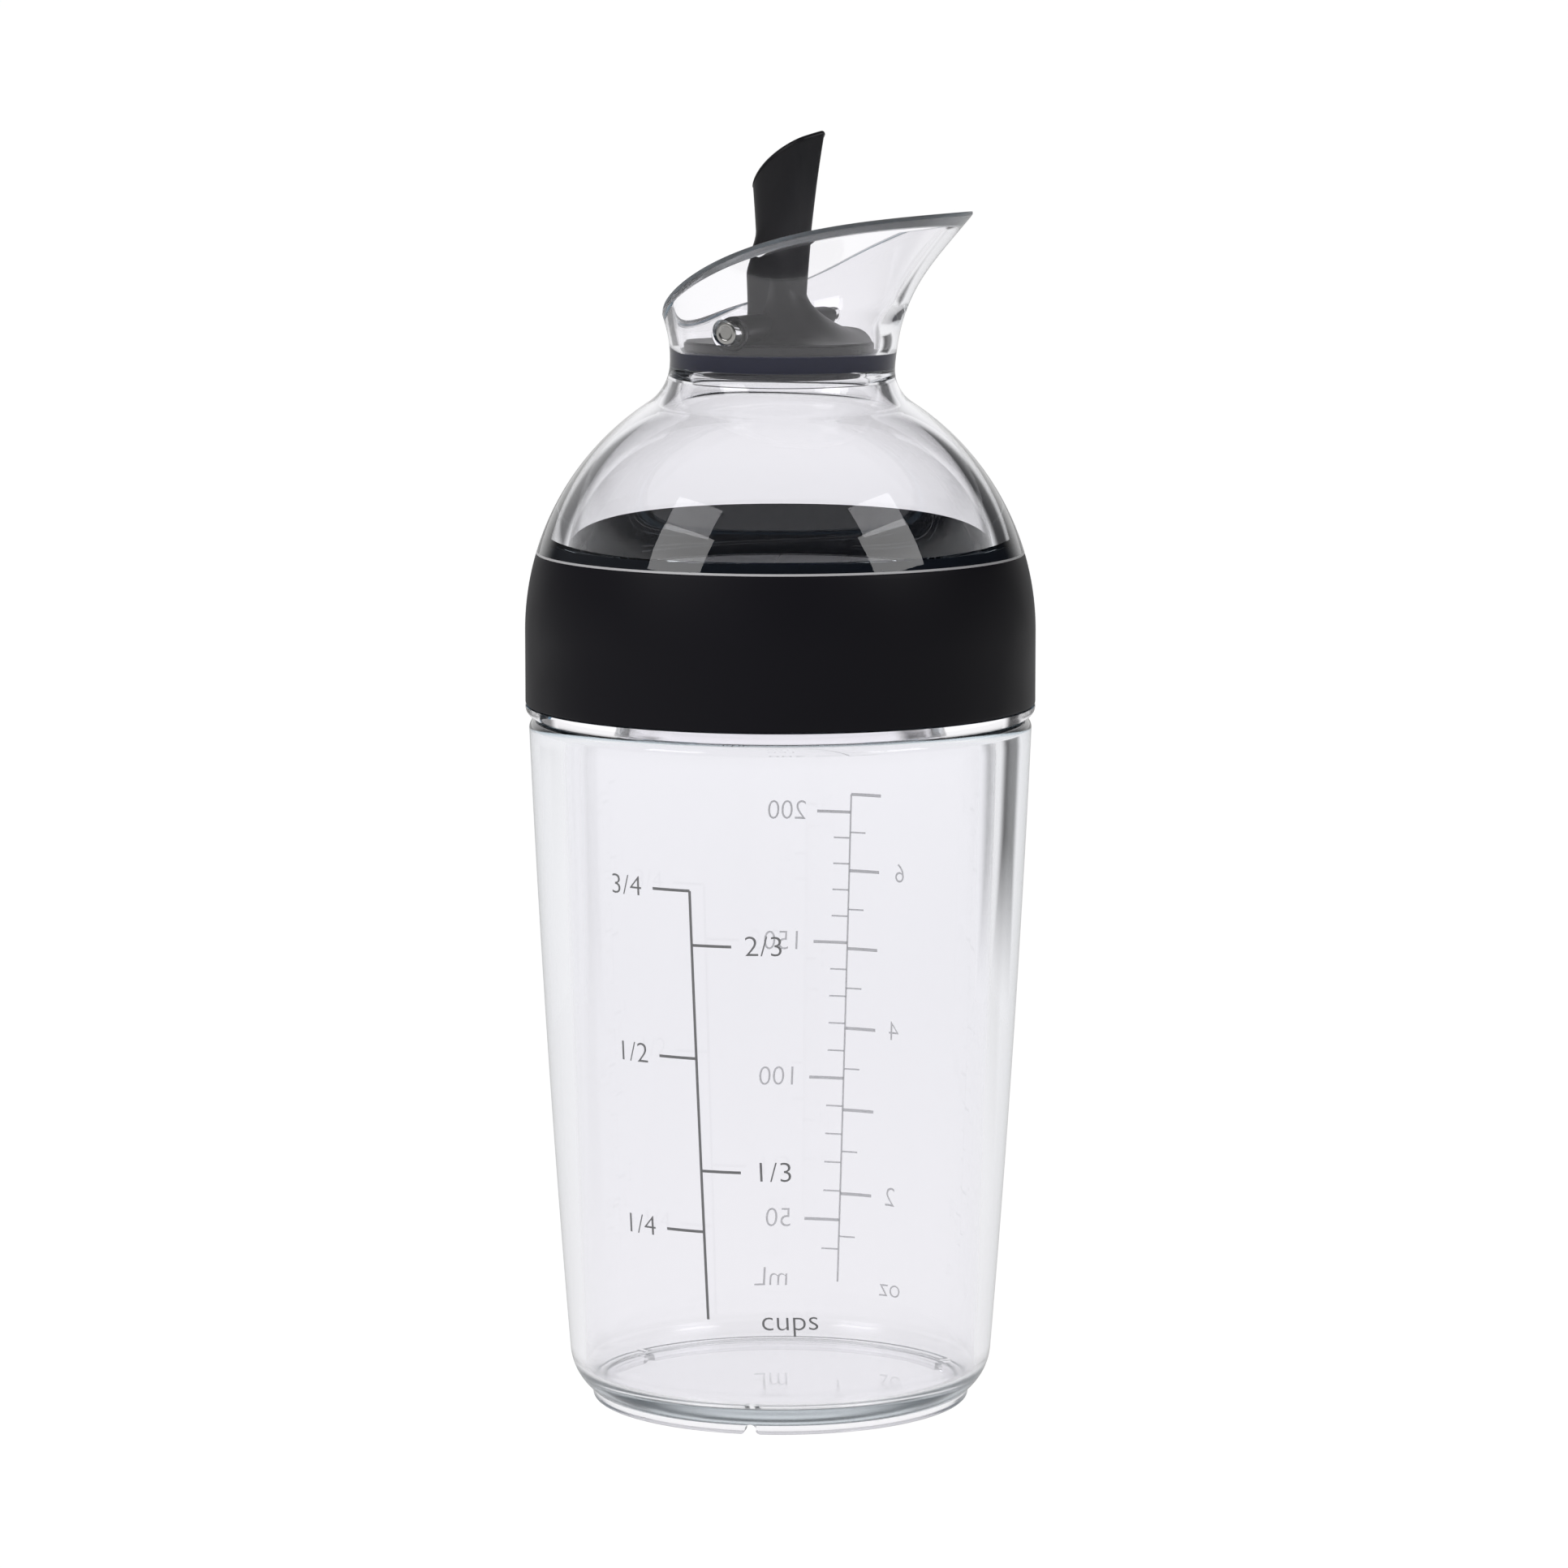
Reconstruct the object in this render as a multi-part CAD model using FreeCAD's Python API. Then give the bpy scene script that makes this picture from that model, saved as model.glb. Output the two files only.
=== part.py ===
import FreeCAD, Part
import math
import os

# Shaker bottle for salad dressing: a clear tumbler, a clear screw lid drawn up into a pouring spout,
# and a stopper in the spout's throat that a lever tilts on a pin. Millimetres and degrees.
# +Z is up, the origin is the centre of the foot, the spout points along +X and the pin lies along Y.

V = FreeCAD.Vector
UP = V(0, 0, 1)
ALONG_PIN = V(0, 1, 0)

# Neck, screw thread and the layers round them, from the bore outwards
neck_bore_radius = 29.9
neck_wall = 1.5
neck_height = 14.0
neck_rim_round = 0.4
thread_height = 0.8
thread_gap = 0.3
thread_base = 2.0
thread_crest = 1.0
thread_sink = 0.3
thread_starts = 2
thread_lead = 9.0
thread_rise_above_shoulder = 2.6
neck_thread_span = 240.0
lid_thread_span = 140.0
lid_thread_lag = 40.0
skirt_wall = 1.35
band_thickness = 1.2

# Tumbler
shoulder_height = 95.0
shoulder_setback = 0.5
shoulder_round = 1.3
wall_taper = 5.3
wall_bow = 0.4
wall_thickness = 2.3
heel_height = 6.9
heel_radius = 7.6
foot_inset = 3.15
foot_ring_width = 2.0
foot_edge_round = 0.5
foot_recess = 1.8
floor_thickness = 2.3
cavity_bow = 0.1
cavity_corner = 2.0
notch_count = 3
notch_height = 1.45
notch_round = 0.75
notch_sink = 0.05
notch_angle = -71.0

# Lid: lip, grip band and dome, with heights counted from the lid's lower edge
lid_gap = 0.2
lip_height = 1.7
lip_round = 0.45
band_height = 20.8
band_edge_round = 0.5
band_fit = 0.02
band_lap = 1.5
dome_spring_rise = 11.8
dome_radius = 37.3
dome_wall = 2.3
dome_fillet = 6.0
seal_height = 1.6
seal_gap = 0.3

# Spout: waist, bell and slanting rim, with the rim's heights counted from the waist
waist_rise = 47.9
waist_radius = 15.4
bell_radius = 22.5
bell_sweep = 40.4
bell_run = 14.0
bell_wall = 1.93
rim_back_rise = 5.4
rim_front_rise = 21.5
rim_back_margin = 1.0
rim_front_reach = 14.9
rim_bow = 3.45

# Stopper seat and pin
pivot_rise = 5.5
seat_drop = 5.9
throat_drop = 7.8
pin_radius = 1.8
pin_fit = 0.02
pin_running_fit = 0.05
pin_recess = 0.3
pin_end_round = 0.5
pin_seat_wall = 2.2

# Lever and stopper, with heights counted from the pin
barrel_radius = 2.4
barrel_gap = 0.2
barrel_end_gap = 0.8
gasket_gap = 0.1
disc_gap = 0.6
flange_drop = 1.6
flange_thickness = 1.5
gasket_height = 2.6
gasket_fit = 0.02
post_radius = 9.5
base_thickness = 1.2
spigot_radius = 5.0
spigot_height = 1.6
flare_foot_radius = 12.1
flare_top_radius = 3.0
flare_height = 10.6
flare_hollow = 2.75
stem_depth = 6.8
stem_width = 5.6
stem_offset = 0.3
stem_lean = 1.2
stem_swell = 1.7
swell_rise = 8.4
swell_fade = 4.0
depth_growth = 2.0
depth_power = 2.0
width_growth = 1.2
width_power = 3.0
lever_rise = 27.0
lever_back_drop = 7.6
lever_back_reach = 3.9
lever_front_reach = 7.0
lever_top_bow = 0.8
facet_turn = 33.0
facet_lean = 6.8
facet_rise = 13.0
facet_reach = 4.17

# Radii that follow from the neck outwards
neck_radius = neck_bore_radius + neck_wall
skirt_inner = neck_radius + thread_height + thread_gap
skirt_outer = skirt_inner + skirt_wall
band_radius = skirt_outer + band_thickness
shoulder_radius = band_radius - shoulder_setback
wall_base_radius = shoulder_radius - wall_taper
cavity_base_radius = wall_base_radius - wall_thickness
foot_radius = wall_base_radius - foot_inset

# Heights that follow from the shoulder upwards
neck_top = shoulder_height + neck_height
seal_top = neck_top + seal_height
lid_bottom = shoulder_height + lid_gap
band_bottom = lid_bottom + lip_height
band_top = band_bottom + band_height
waist_height = lid_bottom + waist_rise
pivot_height = waist_height + pivot_rise
throat_bottom = pivot_height - throat_drop
seat_bottom = pivot_height - seat_drop
flange_top = pivot_height - flange_drop
flange_bottom = flange_top - flange_thickness
gasket_bottom = flange_bottom - gasket_height
base_bottom = gasket_bottom - base_thickness
lever_top = pivot_height + lever_rise

# Centres of the dome's and the bell's arcs, and the seat that is tangent to the inside of the bell
dome_centre = V(band_radius - dome_radius, 0, lid_bottom + dome_spring_rise)
bell_centre = V(waist_radius + bell_radius, 0, waist_height)
pivot = V(0, 0, pivot_height)
seat_radius = (bell_centre - pivot).Length - bell_radius - bell_wall
pin_wall_radius = bell_centre.x - math.sqrt(bell_radius**2 - pivot_rise**2)
pocket_floor = pin_wall_radius - pin_seat_wall


def at(radius, height):
    """Point of a turned outline."""
    return V(radius, 0, height)


def line(start, end):
    return Part.LineSegment(start, end).toShape()


def bowed(start, end, bow):
    """Arc that stands off its chord by bow, to the left of the way from start to end."""
    chord = end - start
    left = V(-chord.z, 0, chord.x).normalize()
    return Part.Arc(start, (start + end) * 0.5 + left * bow, end).toShape()


def about(centre, start, end):
    """Arc round a centre, the short way from start to end."""
    outward = ((start + end) * 0.5 - centre).normalize()
    return Part.Arc(start, centre + outward * (start - centre).Length, end).toShape()


def on_circle(centre, radius, height):
    """Outer point of a circle at a height."""
    return at(centre.x + math.sqrt(radius**2 - (height - centre.z)**2), height)


def towards(start, goal, distance):
    """Point at a distance from start on the way to goal."""
    return start + (goal - start).normalize() * distance


def seat_point(gap, height):
    """Point that lies inside the stopper's round seat by a gap, at a height."""
    return on_circle(pivot, seat_radius - gap, height)


def outline(corners):
    """Straight edges through the corners."""
    return [line(a, b) for a, b in zip(corners, corners[1:])]


def turned(edges, angle=360):
    """Solid turned about Z from a closed outline."""
    return Part.Face(Part.Wire(edges)).revolve(V(0, 0, 0), UP, angle)


def bar(edges, half_length):
    """Solid that runs along Y, on both sides of the XZ plane, from a closed outline there."""
    face = Part.Face(Part.Wire(edges))
    face.translate(ALONG_PIN * -half_length)
    return face.extrude(ALONG_PIN * 2 * half_length)


def rod(radius, half_length):
    """Round rod on the pin's axis."""
    return Part.makeCylinder(radius, 2 * half_length, pivot - ALONG_PIN * half_length, ALONG_PIN)


def thread_ridges(root, crest, start_height, start_angle, span):
    """Helical ridges, one for each start, sunk a little into the wall that carries them."""
    sunk = root + math.copysign(thread_sink, root - crest)
    corners = [at(sunk, -thread_base / 2), at(crest, -thread_crest / 2),
               at(crest, thread_crest / 2), at(sunk, thread_base / 2), at(sunk, -thread_base / 2)]
    section = Part.Wire(outline(corners))
    helix = Part.makeHelix(thread_lead, thread_lead * span / 360, root)
    ridge = Part.Wire(helix).makePipeShell([section], True, True)
    ridges = []
    for start in range(thread_starts):
        turn = start_angle + 360 * start / thread_starts
        copy = ridge.copy()
        copy.rotate(V(0, 0, 0), UP, turn)
        copy.translate(UP * start_height)
        ridges.append(copy)
    return ridges


def tumbler():
    """Clear cup: foot ring with drain notches, rounded heel, bowed wall, shoulder and threaded neck."""
    wall_base = at(wall_base_radius, heel_height)
    shoulder = at(shoulder_radius, shoulder_height - shoulder_round)
    wall = bowed(wall_base, shoulder, -wall_bow)
    along = wall.tangentAt(wall.FirstParameter)
    heel_centre = wall_base - V(along.z, 0, -along.x) * heel_radius
    heel_start = at(foot_radius, heel_centre.z - math.sqrt(heel_radius**2 - (foot_radius - heel_centre.x)**2))
    foot_inner = foot_radius - foot_ring_width
    ring_inner = at(foot_inner, foot_edge_round)
    ring_outer = at(foot_radius, foot_edge_round)
    contact_inner = at(foot_inner + foot_edge_round, 0)
    contact_outer = at(foot_radius - foot_edge_round, 0)
    shoulder_top = at(shoulder_radius - shoulder_round, shoulder_height)
    neck_outer = at(neck_radius, neck_top - neck_rim_round)
    rim_outer = at(neck_radius - neck_rim_round, neck_top)
    rim_inner = at(neck_bore_radius + neck_rim_round, neck_top)
    neck_inner = at(neck_bore_radius, neck_top - neck_rim_round)
    bore_foot = at(neck_bore_radius, shoulder_height)
    floor = foot_recess + floor_thickness
    cavity_side = at(cavity_base_radius, floor + cavity_corner)
    floor_edge = at(cavity_base_radius - cavity_corner, floor)
    edges = outline([at(0, floor), at(0, foot_recess), at(foot_inner, foot_recess), ring_inner])
    edges.append(about(at(contact_inner.x, foot_edge_round), ring_inner, contact_inner))
    edges.append(line(contact_inner, contact_outer))
    edges.append(about(at(contact_outer.x, foot_edge_round), contact_outer, ring_outer))
    edges.append(line(ring_outer, heel_start))
    edges.append(about(heel_centre, heel_start, wall_base))
    edges.append(wall)
    edges.append(about(at(shoulder_top.x, shoulder.z), shoulder, shoulder_top))
    edges += outline([shoulder_top, at(neck_radius, shoulder_height), neck_outer])
    edges.append(about(at(rim_outer.x, neck_outer.z), neck_outer, rim_outer))
    edges.append(line(rim_outer, rim_inner))
    edges.append(about(at(rim_inner.x, neck_inner.z), rim_inner, neck_inner))
    edges.append(line(neck_inner, bore_foot))
    edges.append(bowed(bore_foot, cavity_side, cavity_bow))
    edges.append(about(at(floor_edge.x, cavity_side.z), cavity_side, floor_edge))
    edges.append(line(floor_edge, at(0, floor)))
    cup = turned(edges)
    thread_foot = shoulder_height + thread_rise_above_shoulder
    cup = cup.fuse(thread_ridges(neck_radius, neck_radius + thread_height, thread_foot, 0, neck_thread_span))
    notch = foot_notch()
    for i in range(notch_count):
        turned_notch = notch.copy()
        turned_notch.rotate(V(0, 0, 0), UP, notch_angle - 90 + 360 * i / notch_count)
        cup = cup.cut(turned_notch)
    return cup


def foot_notch():
    """Arched drain notch with flared sides, which runs out along Y through the foot ring."""
    spring = notch_height - notch_round
    foot = notch_round + spring + notch_sink
    edges = [Part.Arc(at(-notch_round, spring), at(0, notch_height), at(notch_round, spring)).toShape()]
    edges.append(about(at(foot, spring), at(notch_round, spring), at(foot, -notch_sink)))
    edges += outline([at(foot, -notch_sink), at(foot, -notch_height), at(-foot, -notch_height),
                      at(-foot, -notch_sink)])
    edges.append(about(at(-foot, spring), at(-foot, -notch_sink), at(-notch_round, spring)))
    notch = bar(edges, foot_ring_width)
    notch.translate(ALONG_PIN * (foot_radius - foot_ring_width / 2))
    return notch


def dome_spout():
    """Clear lid in one piece: threaded skirt, dome, throat with a round stopper seat, and spout."""
    seat_arc_radius = dome_radius - band_thickness
    dome_foot = on_circle(dome_centre, dome_radius, band_top)
    skirt_spring = at(skirt_outer, dome_centre.z)
    skirt_top = on_circle(dome_centre, seat_arc_radius, band_top + band_lap)
    lip_side = at(band_radius, lid_bottom + lip_round)
    lip_foot = at(band_radius - lip_round, lid_bottom)
    fillet_centre = fillet_between_dome_and_bell()
    dome_end = towards(dome_centre, fillet_centre, dome_radius)
    bell_start = towards(bell_centre, fillet_centre, bell_radius)
    sweep = math.radians(bell_sweep)
    bell_way = V(-math.cos(sweep), 0, math.sin(sweep))
    bell_onwards = V(math.sin(sweep), 0, math.cos(sweep)) * bell_run
    inner_bell_radius = bell_radius + bell_wall
    seat_top = towards(pivot, bell_centre, seat_radius)
    seat_foot = seat_point(0, seat_bottom)
    inner_fillet = dome_fillet + dome_wall
    throat_edge = at(fillet_centre.x - math.sqrt(inner_fillet**2 - (fillet_centre.z - throat_bottom)**2),
                     throat_bottom)
    dome_inner_top = towards(fillet_centre, dome_centre, inner_fillet)
    ledge_inner = at(neck_bore_radius, seal_top)
    inner_centre = circle_centre(dome_inner_top, dome_centre, ledge_inner)
    edges = [line(at(skirt_inner, lid_bottom), lip_foot)]
    edges.append(about(at(lip_foot.x, lip_side.z), lip_foot, lip_side))
    edges += outline([lip_side, at(band_radius, band_bottom), at(skirt_outer, band_bottom), skirt_spring])
    edges.append(about(dome_centre, skirt_spring, skirt_top))
    edges.append(line(skirt_top, dome_foot))
    edges.append(about(dome_centre, dome_foot, dome_end))
    edges.append(about(fillet_centre, dome_end, bell_start))
    outer_end = bell_centre + bell_way * bell_radius
    inner_end = bell_centre + bell_way * inner_bell_radius
    edges.append(about(bell_centre, bell_start, outer_end))
    edges += outline([outer_end, outer_end + bell_onwards, inner_end + bell_onwards, inner_end])
    edges.append(about(bell_centre, inner_end, seat_top))
    edges.append(about(pivot, seat_top, seat_foot))
    edges += outline([seat_foot, at(seat_foot.x, throat_bottom), throat_edge])
    edges.append(about(fillet_centre, throat_edge, dome_inner_top))
    edges.append(about(inner_centre, dome_inner_top, ledge_inner))
    edges += outline([ledge_inner, at(skirt_inner, seal_top), at(skirt_inner, lid_bottom)])
    lid = turned(edges)
    lid = lid.cut(rim_waste())
    lid = lid.cut(rod(pin_radius + pin_fit, pin_wall_radius + 1))
    for side in (-1, 1):
        lid = lid.cut(barrel_pocket(side))
    lid_thread_foot = (shoulder_height + thread_rise_above_shoulder + thread_lead * lid_thread_lag / 360
                       - (thread_base + thread_crest) / 2 - thread_gap)
    ridge_crest = skirt_inner - thread_height
    return lid.fuse(thread_ridges(skirt_inner, ridge_crest, lid_thread_foot, lid_thread_lag, lid_thread_span))


def fillet_between_dome_and_bell():
    """Centre of the round that joins the dome's top to the foot of the bell."""
    from_dome = dome_radius + dome_fillet
    from_bell = bell_radius - dome_fillet
    way = bell_centre - dome_centre
    span = way.Length
    along = (from_dome**2 - from_bell**2 + span**2) / (2 * span)
    across = math.sqrt(from_dome**2 - along**2)
    way.normalize()
    return dome_centre + way * along + V(-way.z, 0, way.x) * across


def circle_centre(touch, goal, other):
    """Centre of the circle through touch and other that lies on the way from touch to goal."""
    way = (goal - touch).normalize()
    chord = other - touch
    return touch + way * (chord.Length**2 / (2 * chord.dot(way)))


def rim_waste():
    """Everything above the spout's slanting rim."""
    reach = bell_centre.x
    ceiling = lever_top
    back = at(-waist_radius - rim_back_margin, waist_height + rim_back_rise)
    front = at(waist_radius + rim_front_reach, waist_height + rim_front_rise)
    edges = [bowed(back, front, rim_bow)]
    edges += outline([front, at(reach, front.z), at(reach, ceiling), at(-reach, ceiling), at(-reach, back.z), back])
    return bar(edges, reach)


def barrel_pocket(side):
    """Round-bottomed slot inside the throat, open upwards, that one end of the lever's barrel drops into."""
    radius = barrel_radius + barrel_gap
    top = pivot_height + 4 * radius
    left = at(-radius, pivot_height)
    right = at(radius, pivot_height)
    edges = [Part.Arc(left, at(0, pivot_height - radius), right).toShape()]
    edges += outline([right, at(radius, top), at(-radius, top), left])
    face = Part.Face(Part.Wire(edges))
    face.translate(ALONG_PIN * side * post_radius)
    return face.extrude(ALONG_PIN * side * (pocket_floor - post_radius))


def grip_band():
    """Soft band that lies flush between the lid's lip and the dome."""
    inner_arc = dome_radius - band_thickness + band_fit
    inner_spring = at(skirt_outer + band_fit, dome_centre.z)
    inner_foot = at(skirt_outer + band_fit, band_bottom)
    outer_top = on_circle(dome_centre, dome_radius, band_top)
    skirt_top = on_circle(dome_centre, dome_radius - band_thickness, band_top + band_lap)
    inner_top = skirt_top + (outer_top - skirt_top) * (band_fit / band_thickness)
    outer_spring = at(band_radius, dome_centre.z)
    edge_side = at(band_radius, band_bottom + band_edge_round)
    edge_foot = at(band_radius - band_edge_round, band_bottom)
    edges = [line(inner_foot, edge_foot)]
    edges.append(about(at(edge_foot.x, edge_side.z), edge_foot, edge_side))
    edges.append(line(edge_side, outer_spring))
    edges.append(about(dome_centre, outer_spring, outer_top))
    edges.append(line(outer_top, inner_top))
    edges.append(about(dome_centre, inner_top, inner_spring))
    edges.append(line(inner_spring, inner_foot))
    return turned(edges)


def rim_seal():
    """Silicone ring under the lid's ledge that the tumbler's rim presses on."""
    inner = neck_bore_radius + seal_gap
    outer = skirt_inner - seal_gap
    return turned(outline([at(inner, neck_top), at(outer, neck_top), at(outer, seal_top), at(inner, seal_top),
                           at(inner, neck_top)]))


def lever():
    """Lever in one moulding: stopper flange and post, hinge barrel, front flare and upright blade."""
    flange_edge = seat_point(disc_gap, flange_bottom)
    corners = [at(0, flange_top), at(flange_edge.x, flange_top), flange_edge, at(post_radius, flange_bottom),
               at(post_radius, gasket_bottom), at(spigot_radius + gasket_fit, gasket_bottom),
               at(spigot_radius + gasket_fit, gasket_bottom + spigot_height),
               at(0, gasket_bottom + spigot_height), at(0, flange_top)]
    body = turned(outline(corners))
    body = body.fuse([rod(barrel_radius, pocket_floor - barrel_end_gap), lever_flare(), lever_blade()])
    return body.cut(rod(pin_radius + pin_running_fit, pin_wall_radius)).removeSplitter()


def lever_flare():
    """Hollow sweep that carries the front of the blade down into the flange."""
    foot_edge = at(flare_foot_radius, flange_top)
    top_edge = at(flare_top_radius, flange_top + flare_height)
    edges = [bowed(foot_edge, top_edge, flare_hollow)]
    edges += outline([top_edge, at(0, top_edge.z), at(0, flange_top), foot_edge])
    flare = turned(edges, 180)
    flare.rotate(V(0, 0, 0), UP, -90)
    return flare


def lever_blade():
    """Upright oval blade that grows towards its slanting top, with two facets that meet in a front keel."""
    sections = []
    steps = 10
    for i in range(steps + 1):
        t = i / steps
        height = flange_top + (lever_top - flange_top) * t
        fade = min(max((height - pivot_height - swell_rise) / swell_fade, 0), 1)
        swell = stem_swell * (1 - fade * fade * (3 - 2 * fade))
        depth = stem_depth / 2 + depth_growth * t**depth_power + swell / 2
        width = stem_width / 2 + width_growth * t**width_power
        middle = at(stem_offset + stem_lean * t**depth_power - swell / 2, height)
        sections.append(Part.Wire(Part.Ellipse(middle, depth, width).toShape()))
    blade = Part.makeLoft(sections, True, False)
    reach = 2 * lever_front_reach
    ceiling = lever_top + lever_back_drop
    back = at(-lever_back_reach, lever_top - lever_back_drop)
    front = at(lever_front_reach, lever_top)
    top_waste = [bowed(back, front, lever_top_bow)]
    top_waste += outline([front, at(reach, front.z), at(reach, ceiling), at(-reach, ceiling), at(-reach, back.z),
                          back])
    blade = blade.cut(bar(top_waste, reach))
    for side in (-1, 1):
        facet_waste = Part.makeBox(reach, 2 * reach, reach, V(0, -reach, 0))
        facet_waste.rotate(V(0, 0, 0), ALONG_PIN, facet_lean)
        facet_waste.translate(at(facet_reach, pivot_height + facet_rise))
        facet_waste.rotate(V(0, 0, 0), UP, side * facet_turn)
        blade = blade.cut(facet_waste)
    return blade


def stopper_gasket():
    """Silicone ring round the stopper's post, with an edge that follows the round seat."""
    inner = post_radius + gasket_fit
    edge_top = seat_point(gasket_gap, flange_bottom)
    edge_foot = seat_point(gasket_gap, gasket_bottom)
    edges = [about(pivot, edge_foot, edge_top)]
    edges += outline([edge_top, at(inner, flange_bottom), at(inner, gasket_bottom), edge_foot])
    return turned(edges)


def plug_base():
    """Lower disc that holds the gasket, with a spigot pressed into the stopper's post."""
    edge_top = seat_point(disc_gap, gasket_bottom)
    edge_foot = seat_point(disc_gap, base_bottom)
    spigot_top = gasket_bottom + spigot_height - gasket_fit
    edges = [about(pivot, edge_foot, edge_top)]
    edges += outline([edge_top, at(spigot_radius, gasket_bottom), at(spigot_radius, spigot_top),
                      at(0, spigot_top), at(0, base_bottom), edge_foot])
    return turned(edges)


def pivot_pin():
    """Stainless pin, with rounded ends set a little inside the spout's wall."""
    pin = rod(pin_radius, pin_wall_radius - pin_recess)
    ends = [edge for edge in pin.Edges if edge.Closed]
    return pin.makeFillet(pin_end_round, ends)


os.makedirs("parts", exist_ok=True)
for piece in (tumbler, dome_spout, grip_band, rim_seal, lever, stopper_gasket, plug_base, pivot_pin):
    solid = piece()
    print(piece.__name__, solid.isValid(), len(solid.Solids), round(solid.Volume, 1), solid.BoundBox)
    solid.exportStep("parts/" + piece.__name__ + ".step")
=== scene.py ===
import cmath
import math

import bmesh
import bpy
from mathutils import Matrix, Vector


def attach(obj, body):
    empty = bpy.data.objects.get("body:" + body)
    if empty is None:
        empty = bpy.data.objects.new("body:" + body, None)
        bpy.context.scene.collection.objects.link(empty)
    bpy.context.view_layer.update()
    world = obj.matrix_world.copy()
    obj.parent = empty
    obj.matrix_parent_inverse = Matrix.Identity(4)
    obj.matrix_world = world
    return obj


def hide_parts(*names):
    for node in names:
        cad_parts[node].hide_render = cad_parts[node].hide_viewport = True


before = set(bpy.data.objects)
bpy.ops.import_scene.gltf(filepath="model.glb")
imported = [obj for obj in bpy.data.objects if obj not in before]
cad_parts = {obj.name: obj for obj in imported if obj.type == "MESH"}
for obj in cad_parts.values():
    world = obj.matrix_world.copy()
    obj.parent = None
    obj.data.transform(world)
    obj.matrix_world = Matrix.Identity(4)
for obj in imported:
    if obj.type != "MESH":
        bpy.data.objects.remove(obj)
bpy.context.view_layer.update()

# Tumbler: the cup that holds the dressing, with a foot ring, a rounded heel and a thick tapering wall.
# Clear copolyester, injection moulded in one shot; a two-start thread on its neck takes the lid.
mm = 0.001
neck_radius = 31.4
neck_bore = 29.9
neck_top = 109.0
neck_round = 0.4
shoulder_height = 95.0
shoulder_round = 1.3
wall_reach = 34.55
foot_radius = 26.1
foot_inner = 24.1
foot_round = 0.5
foot_recess = 1.8
heel_radius = 7.6
cavity_reach = 26.95
cavity_floor = 4.1
cavity_round = 2.0
thread_lead = 9.0
thread_foot = 97.6
thread_depth = 0.8
ridge_sunk = 0.3
ridge_half_root = 1.1
ridge_half_crest = 0.45


def at(radius, height):
    """Point of a turned outline, in metres: the radius is its real part and the height its imaginary part."""
    return complex(radius, height) * mm


def straight(start, end, steps):
    """Points on the way from start to end, without the end."""
    return [start + (end - start) * i / steps for i in range(steps)]


def bowed(start, end, bow, steps):
    """Arc that stands off its chord by bow millimetres, to the left of the way from start to end."""
    turn = 2 * math.atan2(2 * bow * mm, abs(end - start))
    points = []
    for i in range(steps):
        share = i / steps
        reach = math.sin(turn * share) / math.sin(turn)
        points.append(start + (end - start) * reach * cmath.exp(1j * turn * (1 - share)))
    return points


def about(centre, start, end, steps):
    """Arc round a centre, the short way from start to end."""
    turn = cmath.phase((end - centre) / (start - centre))
    return [centre + (start - centre) * cmath.exp(1j * turn * i / steps) for i in range(steps)]


def rounded(spot, before, after, radius, steps):
    """Arc that rounds a square corner, given the ways from the corner to the sides before and after it."""
    start = spot + before * radius * mm
    end = spot + after * radius * mm
    return about(start + end - spot, start, end, steps)


def turned(outline, closed=True, steps=288):
    """Mesh turned about Z from an outline, which ends on the axis if it isn't closed."""
    shell = bmesh.new()
    points = [shell.verts.new((p.real, 0, p.imag)) for p in outline]
    edges = [shell.edges.new(pair) for pair in zip(points, points[1:])]
    if closed:
        edges.append(shell.edges.new((points[-1], points[0])))
    bmesh.ops.spin(shell, geom=points + edges, axis=(0, 0, 1), angle=math.tau, steps=steps, use_merge=True)
    bmesh.ops.remove_doubles(shell, verts=shell.verts, dist=1e-7)
    bmesh.ops.recalc_face_normals(shell, faces=shell.faces)
    return shell


def rotated(shell, angle, axis):
    """Turns a whole mesh about an axis by an angle in radians."""
    bmesh.ops.rotate(shell, verts=shell.verts, cent=(0, 0, 0), matrix=Matrix.Rotation(angle, 3, axis))


def piece(name, shell, sharp=40):
    """Object from a mesh, smooth except at edges sharper than an angle in degrees."""
    mesh = bpy.data.meshes.new(name)
    shell.to_mesh(mesh)
    shell.free()
    mesh.shade_smooth()
    mesh.set_sharp_from_angle(angle=math.radians(sharp))
    made = bpy.data.objects.new(name, mesh)
    bpy.context.scene.collection.objects.link(made)
    return made


def joined(made, operation, tools, sharp=40):
    """Adds tools to a piece, or cuts them out of it, and removes them."""
    for tool in tools:
        step = made.modifiers.new("joined", "BOOLEAN")
        step.operation = operation
        step.object = tool
        step.solver = "MANIFOLD"
    solid = made.evaluated_get(bpy.context.evaluated_depsgraph_get())
    mesh = bpy.data.meshes.new_from_object(solid)
    mesh.materials.clear()
    mesh.shade_smooth()
    mesh.set_sharp_from_angle(angle=math.radians(sharp))
    made.modifiers.clear()
    made.data = mesh
    for tool in tools:
        bpy.data.objects.remove(tool)
    return made


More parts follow.
